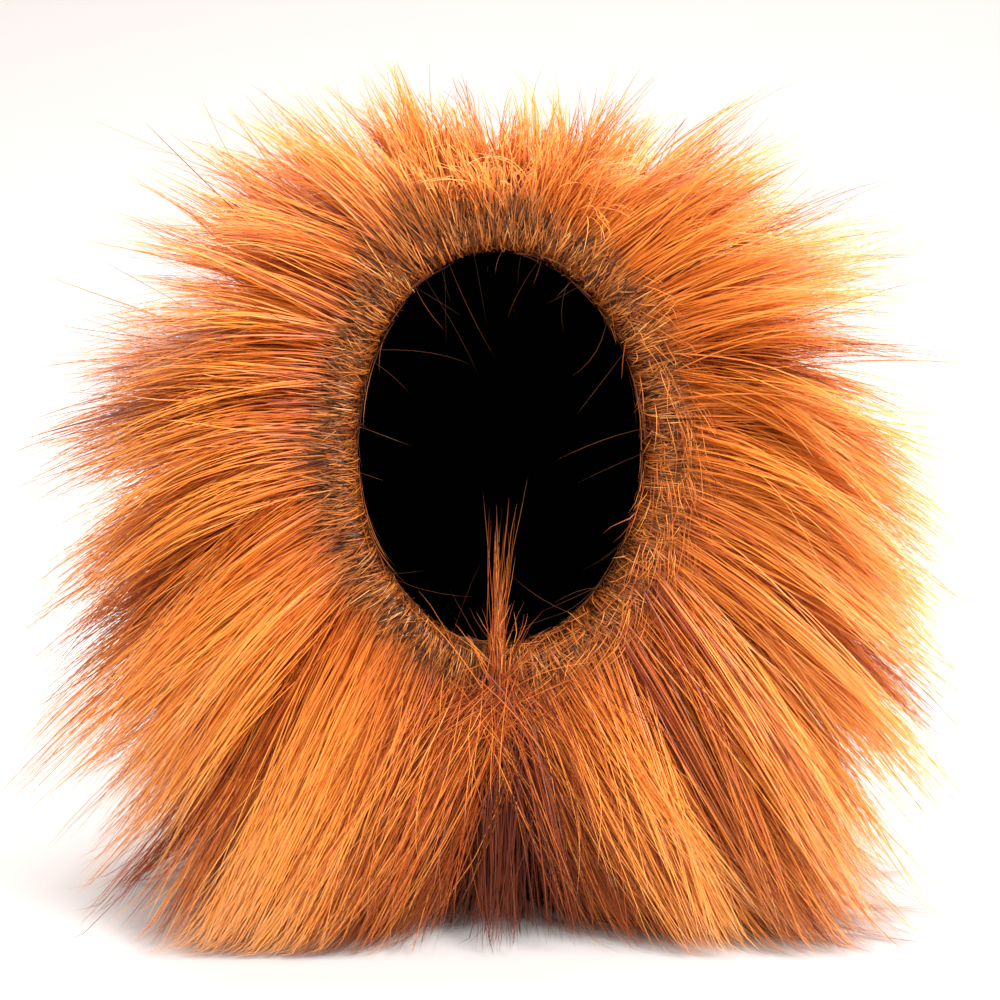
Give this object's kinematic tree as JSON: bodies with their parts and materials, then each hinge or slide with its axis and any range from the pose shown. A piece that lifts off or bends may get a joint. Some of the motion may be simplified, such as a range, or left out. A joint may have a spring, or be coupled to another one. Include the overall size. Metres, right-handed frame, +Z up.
{
  "type": "pet lion mane wig",
  "caption": "Free-standing pet mane hood: long faux-fur locks round an oval face opening with a padded hem, black lining, chin tuft and an open neck.",
  "frame": {"origin": "middle of the underside of the whole wig's box, on the surface it stands on", "axes": "+Z up, the face opening looks along -Y, +X to the viewer's right"},
  "size_m": [0.3668, 0.252, 0.337],
  "materials": {
    "mane_pile": "long orange faux-fur pile with rust and dark roots",
    "hem_pile": "short tan and brown faux-fur pile over a padded roll",
    "lining": "matt black knitted lining"
  },
  "bodies": {
    "root": {"hood_lining": "lining", "face_hem": "hem_pile", "neck_hem": "lining", "crown_fur": "mane_pile", "left_cheek_fur": "mane_pile", "right_cheek_fur": "mane_pile", "left_bib_fur": "mane_pile", "right_bib_fur": "mane_pile", "back_fur": "mane_pile", "nape_fur": "mane_pile", "chin_tuft": "mane_pile"}
  },
  "joints": []
}
